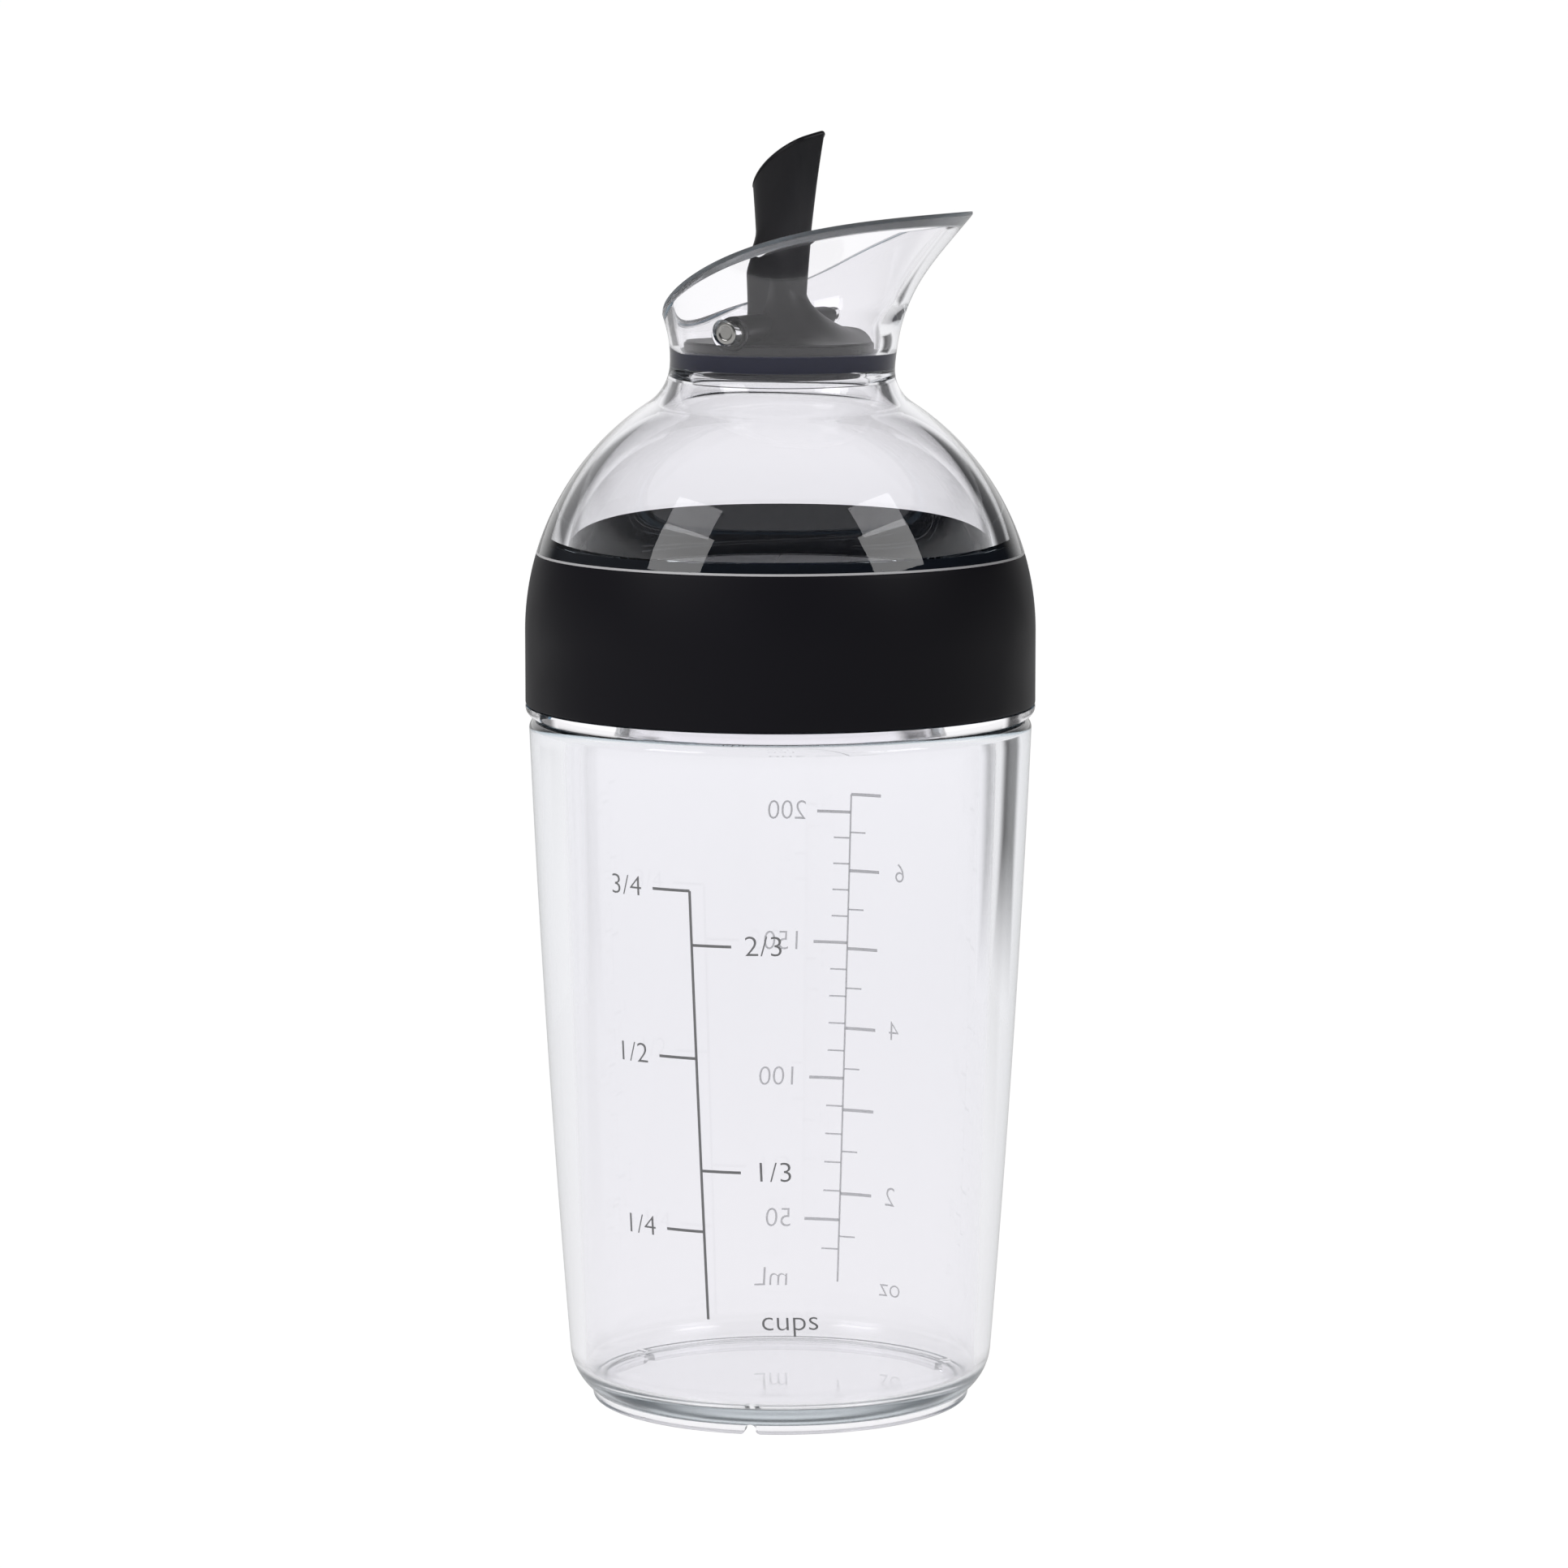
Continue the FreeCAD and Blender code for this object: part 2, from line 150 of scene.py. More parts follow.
def thread_ridge(root, crest, foot, start_angle, span):
    """One helical ridge, sunk a little into the wall that carries it."""
    sunk = root + math.copysign(ridge_sunk, root - crest)
    section = [at(sunk, foot - ridge_half_root), at(crest, foot - ridge_half_crest),
               at(crest, foot + ridge_half_crest), at(sunk, foot + ridge_half_root)]
    steps = int(span / 2)
    ridge = bmesh.new()
    face = ridge.faces.new([ridge.verts.new((p.real, 0, p.imag)) for p in section])
    rotated(ridge, math.radians(start_angle), "Z")
    start = bmesh.ops.duplicate(ridge, geom=[face])["geom"]
    bmesh.ops.spin(ridge, geom=start, axis=(0, 0, 1), angle=math.radians(span), steps=steps,
                   dvec=(0, 0, thread_lead * mm * span / 360 / steps))
    bmesh.ops.remove_doubles(ridge, verts=ridge.verts, dist=1e-6)
    bmesh.ops.recalc_face_normals(ridge, faces=ridge.faces)
    return piece("ridge", ridge)


wall_foot = at(29.25, 6.9)
wall_top = at(wall_reach, shoulder_height - shoulder_round)
wall = bowed(wall_foot, wall_top, -0.4, 60)
wall_rise = wall[1] - wall[0]
shoulder_edge = at(wall_reach - shoulder_round, shoulder_height)
heel_centre = wall_foot + 1j * wall_rise / abs(wall_rise) * heel_radius * mm
heel_drop = math.sqrt((heel_radius * mm)**2 - (foot_radius * mm - heel_centre.real)**2)
heel_start = complex(foot_radius * mm, heel_centre.imag - heel_drop)
cavity_top = at(neck_bore, shoulder_height)
cavity_foot = at(cavity_reach, cavity_floor + cavity_round)
cavity = bowed(cavity_top, cavity_foot, 0.1, 60)
cavity_corner = rounded(at(cavity_reach, cavity_floor), 1j, -1, cavity_round, 10)
floor_edge = at(cavity_reach - cavity_round, cavity_floor)

outline = straight(at(0, foot_recess), at(foot_inner, foot_recess), 4)
outline += straight(at(foot_inner, foot_recess), at(foot_inner, foot_round), 2)
outline += rounded(at(foot_inner, 0), 1j, 1, foot_round, 6)
outline += straight(at(foot_inner + foot_round, 0), at(foot_radius - foot_round, 0), 2)
outline += rounded(at(foot_radius, 0), -1, 1j, foot_round, 6)
outline += straight(at(foot_radius, foot_round), heel_start, 2)
outline += about(heel_centre, heel_start, wall_foot, 20)
outline += wall
outline += rounded(at(wall_reach, shoulder_height), -1j, -1, shoulder_round, 10)
outline += straight(shoulder_edge, at(neck_radius, shoulder_height), 3)
outline += straight(at(neck_radius, shoulder_height), at(neck_radius, neck_top - neck_round), 12)
outline += rounded(at(neck_radius, neck_top), -1j, -1, neck_round, 5)
outline += straight(at(neck_radius - neck_round, neck_top), at(neck_bore + neck_round, neck_top), 2)
outline += rounded(at(neck_bore, neck_top), 1, -1j, neck_round, 5)
outline += straight(at(neck_bore, neck_top - neck_round), cavity_top, 10)
outline += cavity + cavity_corner
outline += straight(floor_edge, at(0, cavity_floor), 4) + [at(0, cavity_floor)]
tumbler = piece("tumbler_shell", turned(outline, closed=False))

joined(tumbler, "UNION", [thread_ridge(neck_radius, neck_radius + thread_depth, thread_foot, start, 240)
                          for start in (0, 180)])

notch_half = 0.75
notch_spring = 0.7
notch_arch = notch_half + notch_spring
notch_start = (foot_inner - 1) * mm
notch_length = 4 * mm
half = [at(0, notch_arch)]
half += about(at(0, notch_spring), at(0, notch_arch), at(notch_half, notch_spring), 8)[1:]
half += about(at(notch_arch, notch_spring), at(notch_half, notch_spring), at(notch_arch, 0), 8)
half += [at(notch_arch + 0.05, 0), at(notch_arch + 0.05, -1)]
notches = []
for notch_angle in (-71, 49, 169):
    notch = bmesh.new()
    edge = [notch.verts.new((notch_start, p.real, p.imag)) for p in half]
    edge += [notch.verts.new((notch_start, -p.real, p.imag)) for p in reversed(half[1:])]
    pushed = bmesh.ops.extrude_face_region(notch, geom=[notch.faces.new(edge)])["geom"]
    far_side = [v for v in pushed if isinstance(v, bmesh.types.BMVert)]
    bmesh.ops.translate(notch, vec=(notch_length, 0, 0), verts=far_side)
    rotated(notch, math.radians(notch_angle), "Z")
    bmesh.ops.recalc_face_normals(notch, faces=notch.faces)
    notches.append(piece("notch", notch))
joined(tumbler, "DIFFERENCE", notches)


def finish(name, base, roughness):
    """Material with one Principled shader; gives the material, its node tree and the shader."""
    material = bpy.data.materials.new(name)
    material.use_nodes = True
    tree = material.node_tree
    shader = tree.nodes["Principled BSDF"]
    shader.inputs["Base Color"].default_value = (*base, 1)
    shader.inputs["Roughness"].default_value = roughness
    return material, tree, shader


def moulded_surface():
    """Node group: the faint flow marks and fine grain of a moulded skin, as a mask and a height."""
    group = bpy.data.node_groups.new("moulded surface", "ShaderNodeTree")
    for name, way in (("Grain Scale", "INPUT"), ("Flow Scale", "INPUT"),
                      ("Flow", "OUTPUT"), ("Grain", "OUTPUT")):
        group.interface.new_socket(name, in_out=way, socket_type="NodeSocketFloat")
    taken = group.nodes.new("NodeGroupInput")
    given = group.nodes.new("NodeGroupOutput")
    place = group.nodes.new("ShaderNodeTexCoord")
    for scale, output, detail in (("Flow Scale", "Flow", 2), ("Grain Scale", "Grain", 4)):
        noise = group.nodes.new("ShaderNodeTexNoise")
        noise.inputs["Detail"].default_value = detail
        group.links.new(place.outputs["Object"], noise.inputs["Vector"])
        group.links.new(taken.outputs[scale], noise.inputs["Scale"])
        group.links.new(noise.outputs["Fac"], given.inputs[output])
    return group


moulded = moulded_surface()
flow_range = (0.3, 0.7)


def ranged(tree, value, low, high, at_low, at_high, interpolation="SMOOTHSTEP"):
    """Step of a value, from at_low below low to at_high above high."""
    node = tree.nodes.new("ShaderNodeMapRange")
    node.interpolation_type = interpolation
    for socket, number in (("From Min", low), ("From Max", high), ("To Min", at_low), ("To Max", at_high)):
        node.inputs[socket].default_value = number
    tree.links.new(value, node.inputs["Value"])
    return node.outputs["Result"]


def moulded_skin(tree, shader, grain_scale, flow_scale, roughness, colours, grain_depth):
    """Drives a shader's roughness, colour and bump from the moulded surface group."""
    skin = tree.nodes.new("ShaderNodeGroup")
    skin.node_tree = moulded
    skin.inputs["Grain Scale"].default_value = grain_scale
    skin.inputs["Flow Scale"].default_value = flow_scale
    rough = ranged(tree, skin.outputs["Flow"], *flow_range, *roughness, interpolation="LINEAR")
    tree.links.new(rough, shader.inputs["Roughness"])
    tint = tree.nodes.new("ShaderNodeMix")
    tint.data_type = "RGBA"
    tint.inputs["A"].default_value = (*colours[0], 1)
    tint.inputs["B"].default_value = (*colours[1], 1)
    tree.links.new(skin.outputs["Flow"], tint.inputs["Factor"])
    tree.links.new(tint.outputs["Result"], shader.inputs["Base Color"])
    bump = tree.nodes.new("ShaderNodeBump")
    bump.inputs["Strength"].default_value = 1
    bump.inputs["Distance"].default_value = grain_depth
    tree.links.new(skin.outputs["Grain"], bump.inputs["Height"])
    tree.links.new(bump.outputs["Normal"], shader.inputs["Normal"])


def figured(tree, operation, first, second):
    """Math node on two values, each of them a socket or a number."""
    node = tree.nodes.new("ShaderNodeMath")
    node.operation = operation
    for value, socket in ((first, node.inputs[0]), (second, node.inputs[1])):
        if isinstance(value, (int, float)):
            socket.default_value = value
        else:
            tree.links.new(value, socket)
    return node.outputs["Value"]


clear_tints = ((0.946, 0.937, 0.96), (0.958, 0.949, 0.969))
worn_roughness = 0.15
worn_reach = (0.0235, 0.0265)
worn_height = (0.004, 0.009)
lamp_share = 0.85


def clear_finish(name, roughness, clarity, shade=1, bend=1.54, density=12):
    """Clear copolyester of a roughness, clarity, shade and index of refraction, with a blue-grey depth.
    The heel of a piece is a little worn, and most of a lamp's light passes through."""
    material, tree, shader = finish(name, (0.96, 0.955, 0.985), 0.02)
    shader.inputs["IOR"].default_value = bend
    shader.inputs["Transmission Weight"].default_value = clarity
    tints = [[channel * shade for channel in tint] for tint in clear_tints]
    moulded_skin(tree, shader, 90, 25, roughness, tints, 1e-6)
    place = tree.nodes.new("ShaderNodeSeparateXYZ")
    tree.links.new(tree.nodes.new("ShaderNodeTexCoord").outputs["Object"], place.inputs["Vector"])
    across, deep = [figured(tree, "POWER", place.outputs[axis], 2) for axis in "XY"]
    reach = figured(tree, "POWER", figured(tree, "ADD", across, deep), 0.5)
    worn = figured(tree, "MULTIPLY", ranged(tree, reach, *worn_reach, 0, worn_roughness),
                   ranged(tree, place.outputs["Z"], *worn_height, 1, 0))
    skin_roughness = shader.inputs["Roughness"].links[0].from_socket
    tree.links.new(figured(tree, "MAXIMUM", skin_roughness, worn), shader.inputs["Roughness"])
    path = tree.nodes.new("ShaderNodeLightPath")
    shadow = figured(tree, "MULTIPLY", path.outputs["Is Shadow Ray"], lamp_share)
    tree.links.new(figured(tree, "SUBTRACT", 1, shadow), shader.inputs["Alpha"])
    depth = tree.nodes.new("ShaderNodeVolumeAbsorption")
    depth.inputs["Color"].default_value = (0.62, 0.74, 0.8, 1)
    depth.inputs["Density"].default_value = density
    tree.links.new(depth.outputs["Volume"], tree.nodes["Material Output"].inputs["Volume"])
    return material


clear_plastic = clear_finish("clear copolyester", (0, 0.012), 1)
tumbler.data.materials.append(clear_plastic)
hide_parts("tumbler")
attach(tumbler, "bottle")

# Volume scales: cups on the front of the tumbler, millilitres and ounces on its back.
# Grey pad-printed ink, a few hundredths of a millimetre thick, that follows the bowed wall; the back scale's
# ink is lighter, as painted light.
ink_sunk = -0.02
ink_proud = 0.03
middle_height = 46
letter_stretch = 1.08
letter_thinning = -0.05
figure_height = 2.75


def wall_radius(height):
    """Radius of the tumbler's outside at a height, both in metres."""
    for low, high in zip(wall, wall[1:] + [wall_top]):
        if height <= high.imag:
            return low.real + (high.real - low.real) * (height - low.imag) / (high.imag - low.imag)


def fill_height(millilitres):
    """Height in millimetres that a volume fills the tumbler to."""
    levels = cavity_corner[::-1] + cavity[::-1]
    filled = 0
    for low, high in zip(levels, levels[1:]):
        layer = math.pi * ((low.real + high.real) / 2)**2 * (high.imag - low.imag) * 1e6
        if filled + layer >= millilitres:
            return (low.imag + (high.imag - low.imag) * (millilitres - filled) / layer) / mm
        filled += layer


def printed(ink, marks, facing, lean):
    """Wraps flat marks, in millimetres across and up, on the wall about the direction they face, in degrees.
    A lean moves them across by its share of their height above the middle of the wall."""
    for point in marks.verts:
        across, up, proud = point.co * mm
        radius = wall_radius(up) + (ink_proud if proud > 0 else ink_sunk) * mm
        turn = math.radians(facing) + (across + lean * (up - middle_height * mm)) / radius
        point.co = (radius * math.cos(turn), radius * math.sin(turn), up)
    mesh = bpy.data.meshes.new("mark")
    marks.to_mesh(mesh)
    marks.free()
    ink.from_mesh(mesh)
    bpy.data.meshes.remove(mesh)


def stroke(start, end, width):
    """Flat bar from start to end."""
    along = Vector(end) - Vector(start)
    bar = bmesh.new()
    bmesh.ops.create_cube(bar, size=1)
    bmesh.ops.scale(bar, vec=(along.length, width, 1), verts=bar.verts)
    long_edges = [e for e in bar.edges if abs(e.verts[0].co.x - e.verts[1].co.x) > width]
    bmesh.ops.subdivide_edges(bar, edges=long_edges, cuts=int(along.length), use_grid_fill=True)
    rotated(bar, math.atan2(along.y, along.x), "Z")
    middle = (Vector(start) + Vector(end)) / 2
    bmesh.ops.translate(bar, vec=(middle.x, middle.y, 0), verts=bar.verts)
    return bar


def lettering(words, centre, height):
    """Words as a flat mesh, centred on a point, with figures of a height."""
    curve = bpy.data.curves.new("lettering", "FONT")
    curve.body = words
    curve.align_x = "CENTER"
    curve.align_y = "CENTER"
    curve.size = height / 0.7
    curve.offset = letter_thinning
    curve.extrude = 0.5
    curve.resolution_u = 4
    text = bpy.data.objects.new("lettering", curve)
    mesh = bpy.data.meshes.new_from_object(text)
    letters = bmesh.new()
    letters.from_mesh(mesh)
    bmesh.ops.scale(letters, vec=(letter_stretch, 1, 1), verts=letters.verts)
    bmesh.ops.translate(letters, vec=(centre[0], centre[1], 0), verts=letters.verts)
    bpy.data.objects.remove(text)
    bpy.data.meshes.remove(mesh)
    return letters


cup = 236.6
line_foot = 16.6
front_marks = [stroke((0, line_foot), (0, fill_height(cup * 3 / 4)), 0.36)]
for words, share, side, drop in (("3/4", 3 / 4, -1, 0), ("2/3", 2 / 3, 1, 0), ("1/2", 1 / 2, -1, 0.4),
                                 ("1/3", 1 / 3, 1, 0.2), ("1/4", 1 / 4, -1, 0.6)):
    height = fill_height(cup * share) - drop
    front_marks.append(stroke((0, height), (side * 5.5, height), 0.38))
    front_marks.append(lettering(words, (side * 9.9, height), figure_height))
front_marks.append(lettering("cups", (11.2, line_foot), 2.85))

ounce = 29.57
back_drop = 5.5
back_marks = [stroke((0, 11.2), (0, fill_height(7 * ounce) - back_drop), 0.28)]
for volume in range(40, 201, 10):
    height = fill_height(volume) - back_drop
    numbered = volume % 50 == 0
    length, width = (5.5, 0.42) if numbered else (2.7, 0.22)
    back_marks.append(stroke((0, height), (length, height), width))
    if numbered:
        across = 10.3 if volume > 50 else 9.5
        back_marks.append(lettering(str(volume), (across, height), figure_height))
for half_ounces in range(3, 15):
    height = fill_height(half_ounces * ounce / 2) - back_drop
    length, width = (2.6, 0.22) if half_ounces % 2 else (5.2, 0.44)
    back_marks.append(stroke((0, height), (-length, height), width))
    if half_ounces % 4 == 0:
        across = -9.1 if half_ounces == 12 else -8.6
        back_marks.append(lettering(str(half_ounces // 2), (across, height), figure_height))
back_marks.append(lettering("mL", (10.2, 11.6), figure_height))
back_marks.append(lettering("oz", (-9.0, 10.9), figure_height))

# The back scale's ink is 0.55 against the front's 0.42: painted light, as the back print, seen from inside
# through the tumbler, gets little of the lamps' light.
for name, marks, facing, lean, shade, cover in (
        ("cup_scale", front_marks, -82, -0.02, 0.42, 0.88),
        ("millilitre_ounce_scale", back_marks, 99.75, -0.0175, 0.55, 0.45)):
    ink = bmesh.new()
    for mark in marks:
        printed(ink, mark, facing, lean)
    bmesh.ops.recalc_face_normals(ink, faces=ink.faces)
    scale = piece(name, ink)
    grey_ink, tree, shader = finish("grey ink " + name, (shade, shade, shade * 1.03), 0.45)
    darker = (shade * 0.94, shade * 0.94, shade * 0.98)
    lighter = (shade * 1.06, shade * 1.06, shade * 1.1)
    shader.inputs["Alpha"].default_value = cover
    moulded_skin(tree, shader, 3000, 400, (0.4, 0.55), (darker, lighter), 2e-6)
    scale.data.materials.append(grey_ink)
    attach(scale, "bottle")

# Lid: threaded skirt, dome, throat with a round stopper seat, and flared spout, all in one clear moulding.
# It screws onto the tumbler; bores through the spout's waist hold the pin, and pockets take the hinge barrel.
# The spout's rim, the edge above the grip band and the lip below the band have finishes of their own:
# painted shade on the rim, a painted highlight on the edge and painted light on the lip.
lid_bottom = 95.2
lip_round = 1.5
skirt_inner = 32.5
skirt_outer = 33.85
spring_height = 107.0
band_radius = 35.05
band_bottom = 96.9
band_top = 117.7
band_thickness = 1.2
band_lap = 1.5
edge_height = 0.3
ledge = 110.6
dome_centre = at(-2.25, spring_height)
dome_radius = 37.3
dome_wall = 2.3
fillet_radius = 6.0
bell_centre = at(37.9, 143.1)
bell_radius = 22.5
bell_wall = 1.93
bell_sweep = math.atan(0.85)
bell_blend = 0.2
bell_steps = 36
spout_shift = 0.5
neck_shift = (138, 147)
bell_shift = (147.5, 153)
rim_back = at(-16.4, 148.5)
rim_tip = at(30.3, 164.6)
rim_round = 0.35
pivot_height = 148.6
pivot = at(0, pivot_height)
pin_radius = 1.8
throat_bottom = 140.8
seat_bottom = 142.7


def on_circle(centre, radius, height):
    """Outer point of a circle at a height."""
    return complex(centre.real + math.sqrt((radius * mm)**2 - (height * mm - centre.imag)**2), height * mm)


def towards(start, goal, distance):
    """Point at a distance in millimetres from start on the way to goal."""
    return start + (goal - start) / abs(goal - start) * distance * mm


def fillet_between(low, high, from_low, from_high):
    """Point at given distances in millimetres from two centres, on the left of the way between them."""
    way = high - low
    along = ((from_low * mm)**2 - (from_high * mm)**2 + abs(way)**2) / (2 * abs(way))
    across = math.sqrt((from_low * mm)**2 - along**2)
    return low + way / abs(way) * complex(along, across)


def eased(value, low, high):
    """Smooth step of a value, from 0 at low to 1 at high."""
    share = min(max((value - low) / (high - low), 0), 1)
    return share * share * (3 - 2 * share)


def rim_height(x):
    """Height of the spout's slanting rim above a place along X, both in metres."""
    for low, high in zip(rim, rim[1:]):
        if x <= high.real:
            break
    return low.imag + (high.imag - low.imag) * (x - low.real) / (high.real - low.real)


def bell_spot(radius, way):
    """Point of the bell's outline: an arc round the bell's centre, which runs on straight past its sweep."""
    past = way - bell_sweep
    turn = way - (past + math.hypot(past, bell_blend)) / 2
    onwards = complex(math.sin(turn), math.cos(turn)) * (way - turn)
    return bell_centre + radius * mm * (complex(-math.cos(turn), math.sin(turn)) + onwards)


def shifted(height, start, end):
    """How far in metres the spout stands towards its tip at a height, growing softly between two heights."""
    return spout_shift * mm * eased(height / mm, start, end)


def rim_way(radius, turn):
    """How far along its outline the bell of a radius meets the rim, looking along a turn about Z."""
    low, high = 0, bell_sweep + 0.75
    for _ in range(40):
        middle = (low + high) / 2
        spot = bell_spot(radius, middle)
        if spot.imag < rim_height(spot.real * math.cos(turn) + spout_shift * mm):
            low = middle
        else:
            high = middle
    return low


rim = bowed(rim_back, rim_tip, 3.45, 80)
rim = [rim[0] - 5 * mm] + rim + [rim_tip, at(36, 164.8)]
to_fillet = (dome_radius + fillet_radius, bell_radius - fillet_radius)
fillet_centre = fillet_between(dome_centre, bell_centre, *to_fillet)
dome_end = towards(dome_centre, fillet_centre, dome_radius)
bell_start = towards(bell_centre, fillet_centre, bell_radius)
seat_radius = abs(bell_centre - pivot) / mm - bell_radius - bell_wall
seat_top = towards(pivot, bell_centre, seat_radius)
seat_foot = on_circle(pivot, seat_radius, seat_bottom)
inner_fillet = fillet_radius + dome_wall
throat_drop = fillet_centre.imag - throat_bottom * mm
throat_reach = fillet_centre.real - math.sqrt((inner_fillet * mm)**2 - throat_drop**2)
throat_edge = complex(throat_reach, throat_bottom * mm)
throat_foot = complex(seat_foot.real, throat_edge.imag)
dome_inner_top = towards(fillet_centre, dome_centre, inner_fillet)
ledge_inner = at(neck_bore, ledge)
inner_way = (dome_centre - dome_inner_top) / abs(dome_centre - dome_inner_top)
inner_chord = ledge_inner - dome_inner_top
inner_reach = abs(inner_chord)**2 / (2 * (inner_chord * inner_way.conjugate()).real)
inner_centre = dome_inner_top + inner_way * inner_reach
skirt_spring = at(skirt_outer, spring_height)
skirt_top = on_circle(dome_centre, dome_radius - band_thickness, band_top + band_lap)
dome_foot = on_circle(dome_centre, dome_radius, band_top)
dome_edge = on_circle(dome_centre, dome_radius, band_top + edge_height)
bell_low = cmath.phase((bell_start - bell_centre) / -1)
seat_low = cmath.phase((seat_top - bell_centre) / -1)
lip_side = at(band_radius, lid_bottom + lip_round)

outline = straight(at(skirt_inner, lid_bottom), at(band_radius - lip_round, lid_bottom), 2)
outline += rounded(at(band_radius, lid_bottom), -1, 1j, lip_round, 10)
outline += straight(lip_side, at(band_radius, band_bottom), 2)
outline += straight(at(band_radius, band_bottom), at(skirt_outer, band_bottom), 1)
outline += straight(at(skirt_outer, band_bottom), skirt_spring, 6)
outline += about(dome_centre, skirt_spring, skirt_top, 8)
outline += straight(skirt_top, dome_foot, 2)
outline += straight(dome_foot, dome_edge, 2)
outline += about(dome_centre, dome_edge, dome_end, 36)
outline += about(fillet_centre, dome_end, bell_start, 16)
# The bell's points only hold a place in the outline here; they are set out after it is turned.
bell_outer_at = len(outline)
outline += [bell_start + i * at(0.2, 0.2) for i in range(bell_steps + 1)]
bell_inner_at = len(outline)
outline += [seat_top + (bell_steps - i) * at(0.2, 0.2) for i in range(bell_steps + 1)]
seat_at = len(outline)
outline += about(pivot, seat_top, seat_foot, 12)[1:]
outline += straight(seat_foot, throat_foot, 3)
outline += straight(throat_foot, throat_edge, 2)
outline += about(fillet_centre, throat_edge, dome_inner_top, 12)
outline += about(inner_centre, dome_inner_top, ledge_inner, 36)
outline += straight(ledge_inner, at(skirt_inner, ledge), 2)
outline += straight(at(skirt_inner, ledge), at(skirt_inner, lid_bottom), 8)

lid_shell = bmesh.new()
outline_place = lid_shell.verts.layers.int.new("outline place")
points = [lid_shell.verts.new((p.real, 0, p.imag)) for p in outline]
for i, point in enumerate(points):
    point[outline_place] = i
edges = [lid_shell.edges.new(pair) for pair in zip(points, points[1:] + points[:1])]
bmesh.ops.spin(lid_shell, geom=points + edges, axis=(0, 0, 1), angle=math.tau, steps=288, use_merge=True)
rim_at = {}
for point in lid_shell.verts:
    place = point[outline_place]
    outer = bell_outer_at <= place < bell_inner_at
    inner = bell_inner_at <= place < seat_at
    if not (outer or inner):
        if point.co.z > neck_shift[0] * mm and place < bell_outer_at:
            point.co.x += shifted(point.co.z, *neck_shift)
        continue
    turn = math.atan2(point.co.y, point.co.x)
    key = (round(turn, 5), outer)
    radius = bell_radius if outer else bell_radius + bell_wall
    if key not in rim_at:
        rim_at[key] = rim_way(radius, turn)
    if outer:
        share = (place - bell_outer_at) / bell_steps
        way = -bell_low + share * (rim_at[key] + bell_low)
    else:
        share = 1 - (place - bell_inner_at) / bell_steps
        way = -seat_low + share * (rim_at[key] + seat_low)
    spot = bell_spot(radius, way)
    shift = shifted(spot.imag, *(neck_shift if outer else bell_shift))
    point.co = (spot.real * math.cos(turn) + shift, spot.real * math.sin(turn), spot.imag)
rim_edges = [e for e in lid_shell.edges
             if e.verts[0][outline_place] == e.verts[1][outline_place] in (bell_inner_at - 1, bell_inner_at)]
bmesh.ops.bevel(lid_shell, geom=rim_edges, offset=rim_round * mm, offset_type="OFFSET", affect="EDGES",
                segments=4, profile=0.5, material=-1)
bmesh.ops.recalc_face_normals(lid_shell, faces=lid_shell.faces)
lid = piece("dome_spout_shell", lid_shell)

lid_thread_start = 40
lid_thread_foot = thread_foot + thread_lead * lid_thread_start / 360 - 1.8
joined(lid, "UNION", [thread_ridge(skirt_inner, skirt_inner - thread_depth, lid_thread_foot, start, 140)
                      for start in (lid_thread_start, lid_thread_start + 180)])


def along_pin(shell):
    """Turns a shape that stands along Z to lie along the pin, at the pin's height."""
    rotated(shell, math.radians(90), "X")
    bmesh.ops.translate(shell, vec=(0, 0, pivot_height * mm), verts=shell.verts)
    return shell


def rod(radius, half_length):
    """Round rod on the pin's axis, in millimetres."""
    shell = bmesh.new()
    bmesh.ops.create_cone(shell, cap_ends=True, segments=64, radius1=radius * mm, radius2=radius * mm,
                          depth=2 * half_length * mm)
    return along_pin(shell)


pocket_radius = 2.6
pocket_floor = 13.9
pocket_inner = 9.5
pocket_top = 162.0
pocket_height = pocket_top - pivot_height + pocket_radius
pocket_size = (2 * pocket_radius, pocket_floor - pocket_inner, pocket_height)
pocket_middle = pivot_height - pocket_radius + pocket_height / 2
pockets = []
for side in (-1, 1):
    pocket = bmesh.new()
    bmesh.ops.create_cube(pocket, size=1)
    bmesh.ops.scale(pocket, vec=[size * mm for size in pocket_size], verts=pocket.verts)
    middle = (0, side * (pocket_floor + pocket_inner) / 2 * mm, pocket_middle * mm)
    bmesh.ops.translate(pocket, verts=pocket.verts, vec=middle)
    low = [e for e in pocket.edges if all(v.co.z < pivot_height * mm for v in e.verts)
           and abs(e.verts[0].co.y - e.verts[1].co.y) > mm]
    bmesh.ops.bevel(pocket, geom=low, offset=pocket_radius * mm * 0.999, offset_type="OFFSET", affect="EDGES",
                    segments=20, profile=0.5, material=-1)
    pockets.append(piece("pocket", pocket))
joined(lid, "DIFFERENCE", pockets + [piece("bore", rod(pin_radius + 0.02, 17))])

shaded_rim_slot, painted_highlight_slot, lightened_lip_slot = 1, 2, 3
